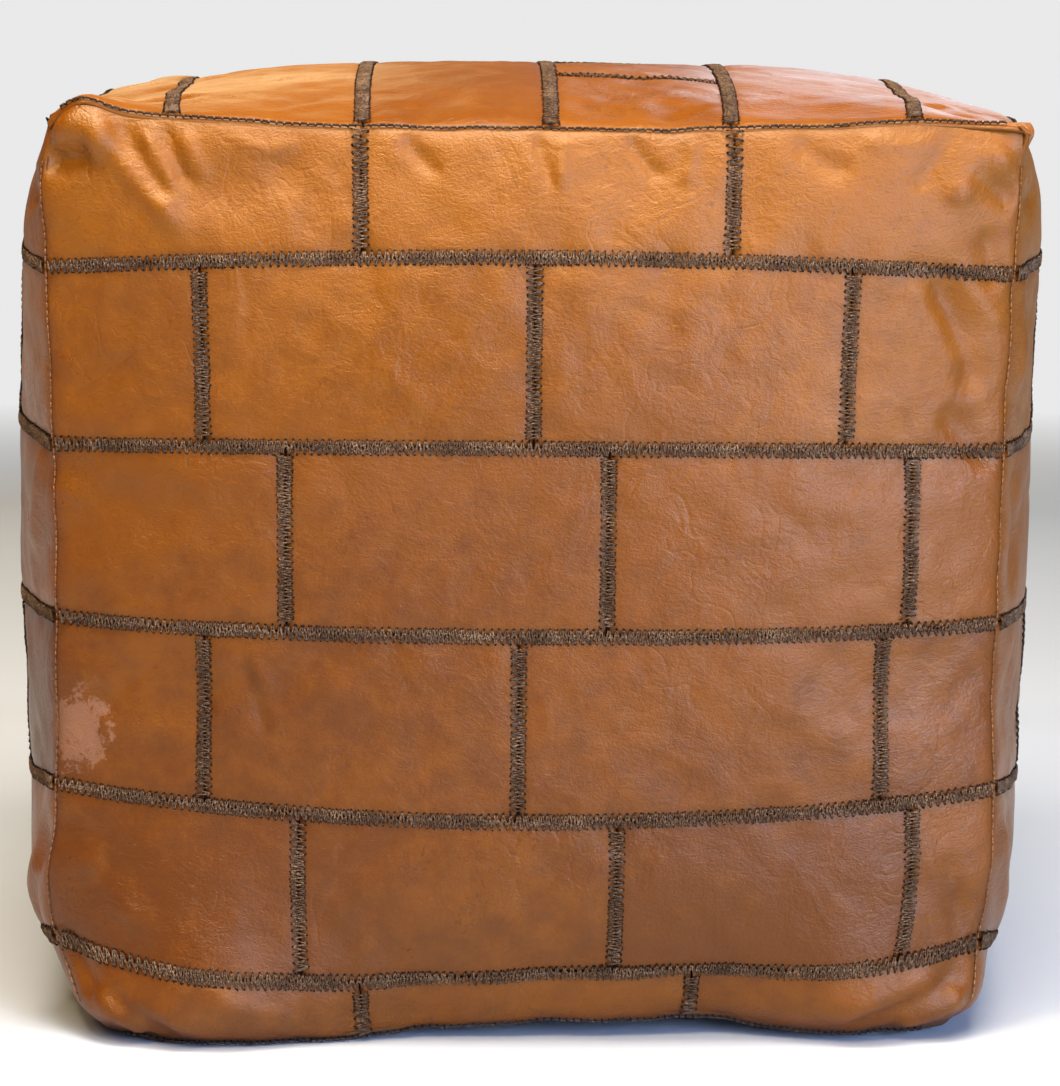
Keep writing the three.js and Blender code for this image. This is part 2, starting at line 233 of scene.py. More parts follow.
def coons(grid):
    """The surface spanned by a grid's four edges."""
    n = grid.shape[0]
    s = np.linspace(0, 1, n)[:, None, None]
    t = np.linspace(0, 1, n)[None, :, None]
    west, east, south, north = grid[0], grid[-1], grid[:, 0], grid[:, -1]
    ruled = (1 - s) * west[None] + s * east[None] + (1 - t) * south[:, None] + t * north[:, None]
    corners_west = (1 - t) * grid[0, 0] + t * grid[0, -1]
    corners_east = (1 - t) * grid[-1, 0] + t * grid[-1, -1]
    return ruled - ((1 - s) * corners_west + s * corners_east)


def even_part(grid, waves=3, degree=4):
    """The smooth shape of a simulated face, without its creases."""
    n = grid.shape[0]
    t = np.linspace(-1, 1, n)
    edge = grid.copy()
    for take in (np.s_[0], np.s_[-1], np.s_[:, 0], np.s_[:, -1]):
        curve = grid[take]
        chord = np.outer(1 - t, curve[0]) / 2 + np.outer(1 + t, curve[-1]) / 2
        basis = np.stack([(1 - t * t) * t ** k for k in range(degree - 1)], -1)
        fit = np.linalg.lstsq(basis, curve - chord, rcond=None)[0]
        edge[take] = chord + basis @ fit
    inner = grid - coons(grid)
    modes = np.stack([np.sin(math.pi * (k + 1) * (t + 1) / 2) for k in range(waves)], -1)
    modes /= np.linalg.norm(modes, axis=0)
    low = np.einsum("ik,jl,klc->ijc", modes, modes, np.einsum("ik,jl,ijc->klc", modes, modes, inner))
    return coons(edge) + low


def find_creases():
    """Each face's grid of small moves that crease the cover, in millimetres."""
    creases = {}
    for face, grid in inflate().items():
        move = grid - even_part(grid)
        length = np.linalg.norm(move, axis=-1, keepdims=True)
        creases[face] = move * np.minimum(1, CREASE_CAP / np.maximum(length, 1e-9))
    return creases


# ---- Folds, wrinkles and dents, placed one by one ----

# Each stroke: start, middle and end in millimetres from the face's middle, half width, height.
STROKES = {}
STROKES["front"] = (
    # top left corner of the front: pinched lobe with a fold under it
    ((-229, 197), (-218, 192), (-202, 202), 6.5, -6.5),
    ((-226, 212), (-212, 212), (-196, 198), 8, 5.0),
    ((-206, 217), (-188, 198), (-160, 162), 6, 4.2),
    ((-196, 214), (-178, 190), (-166, 180), 7, -3.0),
    ((-182, 214), (-172, 196), (-164, 182), 3.5, 2.6),
    ((-170, 216), (-166, 200), (-158, 186), 3, -2.2),
    ((-160, 214), (-158, 200), (-150, 190), 3.5, 1.6),
    ((-140, 212), (-120, 200), (-108, 212), 3, 1.4),
    ((-168, 186), (-136, 186), (-96, 200), 15, -3.0),
    # under the front top edge
    ((-60, 216), (-52, 204), (-40, 196), 4, -2.0),
    ((2, 217), (4, 205), (12, 188), 3.2, -2.0),
    ((14, 216), (16, 206), (12, 190), 3, 1.7),
    ((44, 217), (50, 206), (62, 194), 3.5, -2.0),
    ((74, 216), (76, 205), (70, 192), 3, 1.8),
    ((120, 214), (132, 200), (150, 196), 5, -2.0),
    ((150, 214), (166, 206), (190, 208), 4, 1.4),
    # top right corner: a small twisted ear
    ((229, 178), (214, 186), (204, 198), 7, -4.0),
    ((226, 204), (210, 196), (192, 178), 7, 3.2),
    ((196, 216), (190, 200), (176, 186), 5, -2.0),
    ((212, 168), (216, 150), (224, 140), 6, -2.2),
    # the hollow right of the second course
    ((186, 150), (203, 112), (216, 86), 9, -4.5),
    ((178, 146), (194, 128), (206, 92), 6, 2.6),
    ((200, 150), (214, 128), (226, 118), 6, 2.2),
    ((196, 84), (210, 66), (226, 50), 7, -2.4),
    # long soft creases on the bricks
    ((-136, 148), (-128, 128), (-138, 112), 3, -0.8),
    ((-70, 110), (-62, 92), (-44, 84), 4, 0.7),
    ((30, 150), (44, 138), (66, 136), 4, 0.6),
    ((-141, -32), (-128, -56), (-126, -78), 2.6, -0.9),
    ((-132, -34), (-122, -56), (-121, -74), 3, 0.6),
    ((-205, -20), (-190, -12), (-176, -20), 5, 0.8),
    ((120, 40), (130, 20), (150, 10), 5, -0.6),
    # the lower left corner: glossy folds in slack leather
    ((-219, -196), (-208, -204), (-196, -216), 7, 4.0),
    ((-212, -196), (-198, -204), (-180, -216), 5, -2.6),
    ((-204, -198), (-186, -206), (-160, -212), 6, 2.4),
    ((-226, -170), (-218, -184), (-212, -208), 6, -2.6),
    ((-214, -130), (-200, -150), (-180, -170), 7, 1.4),
    ((-160, -190), (-140, -204), (-110, -206), 7, 2.0),
    ((-100, -204), (-70, -214), (-30, -206), 7, -1.8),
    # the lower right corner: one large fold
    ((224, -186), (206, -198), (168, -216), 7, -4.0),
    ((212, -190), (196, -198), (150, -208), 7, 3.2),
    ((224, -200), (214, -206), (196, -217), 7, 3.5),
    ((150, -203), (110, -212), (60, -206), 8, 1.6),
    ((204, -130), (212, -150), (220, -180), 6, -2.0),
)
STROKES["left"] = (
    ((226, 186), (208, 174), (190, 182), 8, -4.0),
    ((220, 60), (200, 40), (190, 0), 8, 2.2),
    ((214, -140), (196, -160), (180, -196), 8, 3.6),
    ((226, -120), (210, -150), (198, -190), 7, -3.4),
    ((-200, 190), (-180, 170), (-170, 150), 8, 3.0),
    ((-60, -190), (-20, -206), (30, -196), 8, 2.4),
)
STROKES["right"] = (
    ((-226, 186), (-212, 174), (-196, 186), 7, -3.6),
    ((-222, 150), (-206, 120), (-214, 80), 7, 3.0),
    ((-216, 60), (-200, 20), (-210, -20), 8, -2.4),
    ((-220, -120), (-204, -150), (-186, -190), 9, 3.8),
    ((-206, -116), (-190, -146), (-170, -180), 7, -3.2),
    ((190, 196), (176, 176), (170, 150), 8, 3.0),
    ((40, -192), (90, -206), (140, -190), 8, 2.2),
)
STROKES["back"] = (
    ((-226, 186), (-206, 176), (-188, 186), 8, -4.0),
    ((-206, 212), (-186, 190), (-164, 168), 6, 3.0),
    ((226, 190), (208, 178), (192, 188), 8, -4.0),
    ((210, 150), (196, 110), (206, 70), 9, -3.0),
    ((-216, -160), (-200, -186), (-180, -210), 7, 4.0),
    ((214, -156), (196, -184), (172, -208), 8, -4.0),
    ((40, 216), (46, 204), (60, 192), 4, -1.2),
    ((-60, 216), (-52, 202), (-56, 190), 4, 1.2),
)
STROKES["top"] = (
    ((-226, -196), (-206, -190), (-186, -206), 7, 3.0),
    ((-190, -214), (-170, -190), (-150, -180), 5, -1.8),
    ((-120, -222), (-112, -206), (-96, -190), 4, 1.0),
    ((60, -222), (70, -204), (90, -192), 4, -1.0),
    ((210, -210), (190, -190), (186, -170), 7, -2.6),
    ((222, -170), (206, -150), (190, -146), 6, 2.0),
    ((-210, 206), (-190, 190), (-180, 160), 7, 2.6),
    ((206, 210), (190, 186), (160, 180), 7, -2.6),
    ((-40, 60), (-10, 90), (40, 84), 16, -2.0),
)
STROKE_SAMPLES = 28
STROKE_FADE = 4          # a stroke rises to its full height over a quarter of its length
STROKE_TIP = 0.12        # and keeps a little height at its very ends


def stroke_height(face, a, b):
    """The relief of the face's strokes at points a across and b up, in millimetres."""
    total = np.zeros_like(a)
    for start, middle, end, width, height in STROKES.get(face, ()):
        t = np.linspace(0, 1, STROKE_SAMPLES)
        curve_a = (1 - t) ** 2 * start[0] + 2 * t * (1 - t) * middle[0] + t * t * end[0]
        curve_b = (1 - t) ** 2 * start[1] + 2 * t * (1 - t) * middle[1] + t * t * end[1]
        reach = 3 * width
        near = (a > curve_a.min() - reach) & (a < curve_a.max() + reach)
        near &= (b > curve_b.min() - reach) & (b < curve_b.max() + reach)
        if not near.any():
            continue
        da = a[near][:, None] - curve_a
        db = b[near][:, None] - curve_b
        gap = np.hypot(da, db)
        at = gap.argmin(1)
        d = gap[np.arange(len(at)), at]
        fade = smooth(np.minimum(t[at], 1 - t[at]) * STROKE_FADE + STROKE_TIP)
        total[near] += height * fade * np.exp(-(d / width) ** 2)
    return total


BASE_SAG = 5.0            # the cover hangs this much longer below SAG_HEIGHT than the CAD model's
SAG_HEIGHT = 150.0

# Each lobe: middle and radius in millimetres, and how far the cover is pulled there.
LOBES = (
    # front corners at the top: a lobe pushed up beside the left one, an ear at the right one
    ((-212, -232, 446), 18, (0, -5, 9)),
    ((-238, -236, 444), 22, (3, 5, -6)),
    ((-242, -180, 448), 38, (13, 0, -14)),
    ((238, -234, 434), 11, (8, -5, 1)),
    ((226, -214, 446), 26, (-6, 3, -7)),
    ((-242, -100, 446), 50, (6, 0, -9)),
    ((240, -158, 447), 34, (-4, 0, -6)),
    ((242, -150, 400), 60, (4, 0, 0)),
    # slack leather along the front's lower edge
    ((-160, -228, 4), 50, (0, -40, -3)),
    ((-208, -212, 4), 24, (-7, -22, 0)),
    ((-222, -210, 50), 36, (-9, 0, 0)),
    ((-95, -236, 4), 40, (0, -10, -3)),
    ((30, -236, 6), 70, (0, 0, 4)),
    ((92, -236, 6), 24, (0, 4, 3)),
    ((165, -230, 4), 42, (0, -24, -1)),
    ((212, -206, 10), 28, (12, -14, 0)),
    # the other corners
    ((-234, 234, 441), 22, (8, -8, -8)),
    ((234, 234, 441), 22, (-9, -7, -6)),
    ((-232, 150, 20), 45, (-9, 0, -1)),
    ((232, -60, 14), 50, (7, 0, 0)),
    ((236, 150, 20), 40, (-6, 0, 2)),
    ((70, 236, 12), 50, (0, 9, 0)),
    ((-120, 236, 10), 45, (0, -6, 2)),
    # the seat is fuller at its right side, and has given a little in the middle
    ((170, 0, 450), 70, (0, 0, 3)),
    ((-190, 90, 450), 70, (0, 0, -5)),
    ((20, 30, 458), 90, (0, 0, -1)),
)


def pull_lobes(point):
    """Points of the plain cover after the lobes have pulled them."""
    moved = point.copy()
    for middle, radius, pull in LOBES:
        share = np.exp(-((point - middle) ** 2).sum(-1) / radius ** 2)
        moved += share[..., None] * np.array(pull, float)
    moved[..., 2] += BASE_SAG * (1 - np.clip(1 - moved[..., 2] / SAG_HEIGHT, 0, 1) ** 2)
    return moved


# ---- The finished surface, tabulated on a fine grid for each face ----

TABLE_STEP = 1.0
CREASE_RIM = 0.1         # shares of a face's half width over which edge rules give way to face rules
STROKE_RIM = 0.03
BASE_FLAT = 0.8          # the base has creases only outside this share of its half width


def resample(grid, u, v):
    """Smooth (Catmull-Rom) values of a coarse grid at u and v from -1 to 1."""
    n = grid.shape[0] - 1
    padded = np.pad(grid, ((1, 1), (1, 1), (0, 0)), mode="edge")
    padded[0] = 2 * padded[1] - padded[2]
    padded[-1] = 2 * padded[-2] - padded[-3]
    padded[:, 0] = 2 * padded[:, 1] - padded[:, 2]
    padded[:, -1] = 2 * padded[:, -2] - padded[:, -3]
    s, t = (u + 1) / 2 * n, (v + 1) / 2 * n
    i = np.clip(np.floor(s).astype(int), 0, n - 1)
    j = np.clip(np.floor(t).astype(int), 0, n - 1)
    across, up = catmull(s - i), catmull(t - j)
    result = 0
    for p in range(4):
        for q in range(4):
            result = result + (across[p] * up[q])[..., None] * padded[i + p, j + q]
    return result


def catmull(t):
    t2, t3 = t * t, t * t * t
    return (0.5 * (-t3 + 2 * t2 - t), 0.5 * (3 * t3 - 5 * t2 + 2),
            0.5 * (-3 * t3 + 4 * t2 + t), 0.5 * (t3 - t2))


class Face:
    """One face of the cover: its finished surface and normals, looked up in millimetres."""

    def __init__(self, name, creases):
        self.name = name
        self.up = half_up(name)
        across = np.linspace(-1, 1, int(2 * HALF_WIDTH / TABLE_STEP) + 1)
        up = np.linspace(-1, 1, int(2 * self.up / TABLE_STEP) + 1)
        u, v = np.meshgrid(across, up, indexing="ij")
        point = cover_point(name, u, v)
        normal = self.normals(point)
        edge = np.minimum(1 - np.abs(u), 1 - np.abs(v))
        inside = smooth(edge / CREASE_RIM)[..., None]
        crease = resample(creases[name], u, v)
        outwards = (crease * normal).sum(-1, keepdims=True) * normal
        crease = crease * EDGE_GAIN * (1 - inside) + outwards * CREASE_GAIN * inside
        if name == "base":
            outer = (np.maximum(np.abs(u), np.abs(v)) - BASE_FLAT) / (1 - BASE_FLAT)
            crease = crease * smooth(outer)[..., None]
        point = pull_lobes(point + crease)
        normal = self.normals(point)
        relief = stroke_height(name, u * HALF_WIDTH, v * self.up) * smooth(edge / STROKE_RIM)
        point = point + normal * relief[..., None]
        point[..., 2] = np.maximum(point[..., 2], 0)
        self.point, self.normal = point, self.normals(point)
        self.shape = point.shape[:2]

    @staticmethod
    def normals(point):
        across, up = np.gradient(point, axis=0), np.gradient(point, axis=1)
        return unit(np.cross(across, up))

    def look_up(self, table, a, b):
        s = np.clip((a / HALF_WIDTH + 1) / 2, 0, 1) * (self.shape[0] - 1)
        t = np.clip((b / self.up + 1) / 2, 0, 1) * (self.shape[1] - 1)
        i = np.minimum(s.astype(int), self.shape[0] - 2)
        j = np.minimum(t.astype(int), self.shape[1] - 2)
        s, t = (s - i)[..., None], (t - j)[..., None]
        low = table[i, j] * (1 - s) + table[i + 1, j] * s
        high = table[i, j + 1] * (1 - s) + table[i + 1, j + 1] * s
        return low * (1 - t) + high * t

    def place(self, a, b, height=0.0):
        """The point above a across and b up on the flat patchwork."""
        bowed = course_line(self.name, a / HALF_WIDTH, b / self.up) * self.up
        normal = self.look_up(self.normal, a, bowed)
        return self.look_up(self.point, a, bowed) + normal * np.asarray(height)[..., None], normal


# ---- Meshes ----

def make_object(name, points, polygons, material, values=None):
    """A smooth-shaded mesh object from arrays of points in millimetres and polygons of one size."""
    mesh = bpy.data.meshes.new(name)
    polygons = np.asarray(polygons, np.int32)
    count, sides = polygons.shape
    mesh.vertices.add(len(points))
    mesh.vertices.foreach_set("co", (np.asarray(points) * MM).astype(np.float32).ravel())
    mesh.loops.add(count * sides)
    mesh.loops.foreach_set("vertex_index", polygons.ravel())
    mesh.polygons.add(count)
    mesh.polygons.foreach_set("loop_start", np.arange(count, dtype=np.int32) * sides)
    mesh.update(calc_edges=True)
    mesh.validate()
    mesh.shade_smooth()
    for key, array in (values or {}).items():
        attribute = mesh.attributes.new(key, "FLOAT", "POINT")
        attribute.data.foreach_set("value", np.asarray(array, np.float32).ravel())
    mesh.materials.append(material)
    return new_object(name, mesh)


def shell(outer, inner, keep=None):
    """Points and quads of a closed sheet between two grids, and which grid points it uses."""
    rows, columns = outer.shape[:2]
    ids = np.arange(rows * columns).reshape(rows, columns)
    keep = np.ones((rows - 1, columns - 1), bool) if keep is None else keep
    low = rows * columns
    face = cell_corners(ids)
    quads = [face[keep], face[keep][:, ::-1] + low]
    padded = np.pad(keep, 1)
    sides = (
        (padded[:-2, 1:-1], 3, 0), (padded[2:, 1:-1], 1, 2),
        (padded[1:-1, :-2], 0, 1), (padded[1:-1, 2:], 2, 3),
    )
    for neighbour, first, second in sides:
        free = keep & ~neighbour
        p, q = face[free][:, first], face[free][:, second]
        quads.append(np.stack([q, p, p + low, q + low], -1))
    quads = np.concatenate(quads)
    used, compact = np.unique(quads, return_inverse=True)
    points = np.concatenate([outer.reshape(-1, 3), inner.reshape(-1, 3)])[used]
    return points, compact.reshape(quads.shape), used


EDGE_LINES = (0.0, 0.35, 0.8, 1.5, 2.6, 4.2, 6.5)   # finer grid lines along every cut edge
JOINT_HALF = 0.3         # half the gap between two bricks
TURNED_GAP = 0.25        # gap to the cover's edge where a piece is turned in


def graded(low, high, step):
    ends = np.array(EDGE_LINES)
    inner_low, inner_high = low + ends[-1], high - ends[-1]
    count = max(2, int(round((inner_high - inner_low) / step)) + 1)
    inner = np.linspace(inner_low, inner_high, count)
    return np.concatenate([low + ends[:-1], inner, (high - ends[:-1])[::-1]])


CUT_ROUND, CUT_DEPTH = 0.5, 1.0        # a cut edge's rounding
SEAM_REACH, SEAM_DIP = 4.5, 0.9        # the leather dips towards a zigzag seam
TURN_REACH, TURN_DEPTH = 3.2, 3.2      # and rolls into the turned seams between faces
CORNER_DEPTH = 2.2
PUFF_REACH, PUFF = 18.0, 0.8           # each brick swells a little


def brick_relief(distances, turned, depths):
    """Height over the plain surface from the distances to a brick's four edges."""
    height = np.full_like(distances[0], PUFF)
    for d, is_turned, depth in zip(distances, turned, depths):
        if is_turned:
            height = height - depth * np.exp(-d / TURN_REACH)
        else:
            height = height - CUT_DEPTH * np.exp(-d / CUT_ROUND)
            height = height - SEAM_DIP * np.exp(-d / SEAM_REACH)
        height = height - PUFF / 2 * np.exp(-d / PUFF_REACH)
    return height


def nearest_edge(distances, used):
    """How far the used points of a sheet's two sides are from its nearest edge."""
    nearest = np.minimum.reduce(distances).ravel()
    return np.concatenate([nearest, nearest])[used]


def brick(face, span_a, span_b, step, tone):
    """One leather brick: closed sheet, with its tone and its distance from the nearest edge."""
    limits = ((-HALF_WIDTH, HALF_WIDTH), (-face.up, face.up))
    spans, turned = [], []
    for (low, high), (first, last) in zip((span_a, span_b), limits):
        ends = low <= first, high >= last
        turned += ends
        gaps = [TURNED_GAP if end else JOINT_HALF for end in ends]
        spans.append((low + gaps[0], high - gaps[1]))
    (a0, a1), (b0, b1) = spans
    a, b = np.meshgrid(graded(a0, a1, step), graded(b0, b1, step), indexing="ij")
    distances = (a - a0, a1 - a, b - b0, b1 - b)
    sides = TURN_DEPTH if face.name == "top" else CORNER_DEPTH
    height = brick_relief(distances, turned, (sides, sides, TURN_DEPTH, TURN_DEPTH))
    outer, normal = face.place(a, b, height)
    inner = outer - normal * LEATHER
    points, quads, used = shell(outer, inner)
    return points, quads, nearest_edge(distances, used), np.full(len(points), tone)


def merge(parts):
    """One set of points and polygons, with their values, from several."""
    points, polygons, extras, offset = [], [], [[] for _ in parts[0][2:]], 0
    for part in parts:
        points.append(part[0])
        polygons.append(part[1] + offset)
        offset += len(part[0])
        for store, extra in zip(extras, part[2:]):
            store.append(extra)
    return [np.concatenate(points), np.concatenate(polygons)] + [np.concatenate(e) for e in extras]


# ---- Stitches: every one is a short closed length of thread between two needle holes ----

FIRST_PITCH, SECOND_PITCH = 3.75, 3.5    # the two passes of a seam drift in and out of step
CORE_PITCH = 3.3
BAND_REACH = 4.2
CORE_REACH = 1.6
FIRST_LIFT, SECOND_LIFT, CORE_LIFT = 0.45, 0.85, 0.95    # later passes lie over earlier ones
NEEDLE_DEPTH = 0.35
END_GAP = 0.5
THREAD_RADIUS = 0.33
THREAD_SIDES = 5
# Each ring of a stitch: place along it, height, share of the radius, and the painted shade of the
# needle hole (how dark the thread is painted there).
STATIONS = (
    (0.0, -0.9, 0.8, 2.6), (0.16, 0.35, 1.0, 0.0),
    (0.84, 0.35, 1.0, 0.0), (1.0, -0.9, 0.8, 2.6),
)


def thread_tubes(start, end, normal, lift, radius):
    """Points and quads of a batch of stitches, each from start to end over the leather."""
    side = unit(np.cross(normal, unit(end - start)))
    angle = (np.arange(THREAD_SIDES) / THREAD_SIDES * 2 * math.pi)[None, :, None]
    ring = side[:, None] * np.cos(angle) + normal[:, None] * np.sin(angle)
    rings = []
    for along, height, thickness, _ in STATIONS:
        centre = start + (end - start) * along + normal * (height + lift)[:, None]
        rings.append(centre[:, None] + ring * (radius * thickness)[:, None, None])
    points = np.stack(rings, 1)
    count, levels, sides = points.shape[:3]
    k = np.arange(levels - 1)[:, None] * sides
    c = np.arange(sides)[None]
    following = (c + 1) % sides
    quads = np.stack([k + c, k + following, k + following + sides, k + c + sides], -1).reshape(-1, 4)
    offsets = np.arange(count)[:, None, None] * levels * sides
    return points.reshape(-1, 3), (quads[None] + offsets).reshape(-1, 4)


def thread_object(name, points, quads, material, shade=0.0):
    """A mesh of stitches, painted darkest where they go into their needle holes (painted shade), and
    nowhere lighter than the given shade.
    """
    needle_hole_shades = np.repeat([max(dark, shade) for *_, dark in STATIONS], THREAD_SIDES)
    needle_hole_shades = np.tile(needle_hole_shades, len(points) // len(needle_hole_shades))
    return make_object(name, points, quads, material, {"needle_hole_shade": needle_hole_shades})


def zigzag(face, start, end, reach, pitch, lift, rng):
    """One pass of zigzag stitches along a seam from start to end on the face."""
    start, end = np.array(start, float), np.array(end, float)
    length = np.linalg.norm(end - start)
    along = (end - start) / length
    across = np.array([-along[1], along[0]])
    count = int(length / pitch * 2)
    k = np.arange(count + 1)
    places = (k + rng.uniform(0, 1)) * pitch / 2 + rng.normal(0, 0.13, len(k))
    places = np.clip(places, END_GAP, length - END_GAP)
    sway = np.where(k % 2 == 0, 1.0, -1.0) * (reach + rng.normal(0, 0.2, len(k)))
    spots = start + places[:, None] * along + sway[:, None] * across
    points, normals = face.place(spots[:, 0], spots[:, 1], np.full(len(k), -NEEDLE_DEPTH))
    radius = THREAD_RADIUS * (1 + rng.normal(0, 0.1, count))
    normal = unit(normals[:-1] + normals[1:])
    lift = lift + rng.normal(0, 0.06, count)
    return thread_tubes(points[:-1], points[1:], normal, lift, radius)


def seam_stitches(face, start, end, rng, core=False):
    """A seam is sewn twice, and a long one has a third pass along its core."""
    passes = [
        zigzag(face, start, end, BAND_REACH, FIRST_PITCH, FIRST_LIFT, rng),
        zigzag(face, start, end, BAND_REACH, SECOND_PITCH, SECOND_LIFT, rng),
    ]
    if core:
        passes.append(zigzag(face, start, end, CORE_REACH, CORE_PITCH, CORE_LIFT, rng))
    return passes


# ---- Materials ----

def put(node, **values):
    """Set a node's sockets, by name, to fixed values."""
    for name, value in values.items():
        node.inputs[name].default_value = value


class Graph:
    """Small helpers for building a node tree."""

    def __init__(self, tree):
        self.nodes, self.links = tree.nodes, tree.links

    def add(self, kind, **settings):
        node = self.nodes.new(kind)
        for key, value in settings.items():
            setattr(node, key, value)
        return node

    def wire(self, source, target):
        self.links.new(source, target)

    def place(self, output="Object"):
        return self.add("ShaderNodeTexCoord").outputs[output]

    def noise(self, vector, scale, detail=3.0, roughness=0.55, distortion=0.0):
        node = self.add("ShaderNodeTexNoise")
        put(node, Scale=scale, Detail=detail, Roughness=roughness, Distortion=distortion)
        self.wire(vector, node.inputs["Vector"])
        return node.outputs["Fac"]

    def wave(self, vector, direction, scale, distortion):
        node = self.add("ShaderNodeTexWave", wave_type="BANDS", bands_direction=direction)
        put(node, Scale=scale, Distortion=distortion)
        self.wire(vector, node.inputs["Vector"])
        return node.outputs["Fac"]

    def ramp(self, value, stops):
        node = self.add("ShaderNodeValToRGB")
        ramp = node.color_ramp
        ramp.interpolation = "EASE"
        while len(ramp.elements) < len(stops):
            ramp.elements.new(0.5)
        for element, (place, colour) in zip(ramp.elements, stops):
            element.position = place
            element.color = (*colour, 1.0)
        self.wire(value, node.inputs["Fac"])
        return node.outputs["Color"]

    def span(self, value, low, high, to_low, to_high):
        node = self.add("ShaderNodeMapRange")
        limits = {"From Min": low, "From Max": high, "To Min": to_low, "To Max": to_high}
        put(node, **limits)
        self.wire(value, node.inputs["Value"])
        return node.outputs["Result"]

    def math(self, operation, *values):
        node = self.add("ShaderNodeMath", operation=operation)
        for socket, value in zip(node.inputs, values):
            if isinstance(value, (int, float)):
                socket.default_value = value
            else:
                self.wire(value, socket)
        return node.outputs[0]

    def blend(self, share, first, second):
        node = self.add("ShaderNodeMix", data_type="RGBA")
        sockets = (node.inputs[0], node.inputs[6], node.inputs[7])
        for socket, value in zip(sockets, (share, first, second)):
            if isinstance(value, (int, float)):
                socket.default_value = value
            elif isinstance(value, tuple):
                socket.default_value = (*value, 1.0)
            else:
                self.wire(value, socket)
        return node.outputs[2]

    def attribute(self, name):
        return self.add("ShaderNodeAttribute", attribute_name=name).outputs["Fac"]

    def bump(self, height, distance, strength, base=None):
        node = self.add("ShaderNodeBump")
        put(node, Distance=distance, Strength=strength)
        self.wire(height, node.inputs["Height"])
        if base is not None:
            self.wire(base, node.inputs["Normal"])
        return node.outputs["Normal"]

    def stretched(self, vector, scale, turn):
        node = self.add("ShaderNodeMapping")
        put(node, Scale=scale, Rotation=turn)
        self.wire(vector, node.inputs["Vector"])
        return node.outputs["Vector"]


def new_material(name):
    """A material with its node helper and its main shader."""
    material = bpy.data.materials.new(name)
    material.use_nodes = True
    g = Graph(material.node_tree)
    return material, g, g.nodes["Principled BSDF"]


def leather_material(name, light, middle, dark, gloss, dull):
    material, g, shader = new_material(name)
    where = g.place()
    tone = g.attribute("tone")
    shift = g.add("ShaderNodeVectorMath", operation="ADD")
    g.wire(where, shift.inputs[0])
    g.wire(tone, shift.inputs[1])
    hide = shift.outputs[0]
    # dye and painted light: wide clouds, mottling, each hide's tone, flecks and a scuff (dye); lighter
    # upwards (painted light from above); darker near the pieces' edges (painted shade)
    clouds = g.noise(hide, 6.0, 4.0, 0.55, 0.6)
    mottle = g.noise(hide, 75.0, 5.0, 0.7)
    dye_and_painted_light = g.math("ADD", g.math("MULTIPLY", clouds, 0.37), g.math("MULTIPLY", mottle, 0.35))
    dye_and_painted_light = g.math("ADD", dye_and_painted_light, g.math("MULTIPLY", tone, 0.28))
    # painted light: the colour is lighter towards the top and darker towards the floor, as if lit from
    # above
    rise = g.add("ShaderNodeSeparateXYZ")
    g.wire(where, rise.inputs[0])
    dye_and_painted_light = g.math("ADD", dye_and_painted_light, g.span(rise.outputs["Z"], 0.04, 0.42, -0.12, 0.12))
    colour = g.ramp(dye_and_painted_light, ((0.30, dark), (0.5, middle), (0.68, light)))
    # painted shade: the colour darkens towards the dark tone within 7 mm of each piece's edges, where
    # the seams dip
    edge = g.attribute("edge")
    colour = g.blend(g.span(edge, 0.0, 7.0, 0.35, 0.0), colour, dark)
    flecks = g.span(g.noise(hide, 420.0, 2.0, 0.6), 0.63, 0.71, 0.0, 0.45)
    colour = g.blend(flecks, colour, dark)
    reach = g.add("ShaderNodeVectorMath", operation="DISTANCE")
    g.wire(where, reach.inputs[0])
    reach.inputs[1].default_value = SCUFF_SPOT
    torn = g.span(g.noise(where, 130.0, 6.0, 0.8), 0.3, 0.7, -0.011, 0.011)
    ragged = g.math("ADD", reach.outputs["Value"], torn)
    scuff = g.span(ragged, 0.018, 0.021, 0.6, 0.0)
    colour = g.blend(scuff, colour, (0.25, 0.115, 0.065))
    g.wire(colour, shader.inputs["Base Color"])
    # wax: glossier and duller zones
    rough = g.span(g.noise(hide, 11.0, 3.0, 0.6), 0.35, 0.68, gloss, dull)
    rough = g.math("ADD", rough, g.math("MULTIPLY", g.noise(hide, 300.0, 2.0), 0.08))
    rough = g.math("ADD", rough, g.math("MULTIPLY", scuff, 0.7))
    g.wire(rough, shader.inputs["Roughness"])
    put(shader, **{"Specular IOR Level": 0.45, "Specular Tint": (1.0, 0.82, 0.52, 1.0)})
    # relief: soft crumples, fine crinkles, pull lines and grain
    grain = g.noise(g.stretched(hide, (1.0, 1.0, 1.4), (0.1, 0.5, 0.2)), 760.0, 3.0, 0.6, 0.4)
    pull = g.noise(g.stretched(hide, (1.0, 1.0, 1.8), (0.0, 0.6, 0.2)), 150.0, 4.0, 0.6, 1.8)
    crumple = g.noise(hide, 34.0, 3.0, 0.55, 1.2)
    folds = g.math("ABSOLUTE", g.math("SUBTRACT", g.noise(hide, 38.0, 2.0, 0.5, 0.8), 0.5))
    patches = g.span(g.noise(hide, 8.0, 2.0), 0.48, 0.64, 0.0, 1.0)
    crinkle = g.math("MULTIPLY", g.span(folds, 0.0, 0.05, 0.0, 1.0), patches)
    relief = g.bump(crumple, 0.0026, 0.5)
    relief = g.bump(crinkle, 0.0003, 0.6, relief)
    relief = g.bump(pull, 0.0006, 0.6, relief)
    relief = g.bump(grain, 0.00036, 0.9, relief)
    g.wire(relief, shader.inputs["Normal"])
    return material


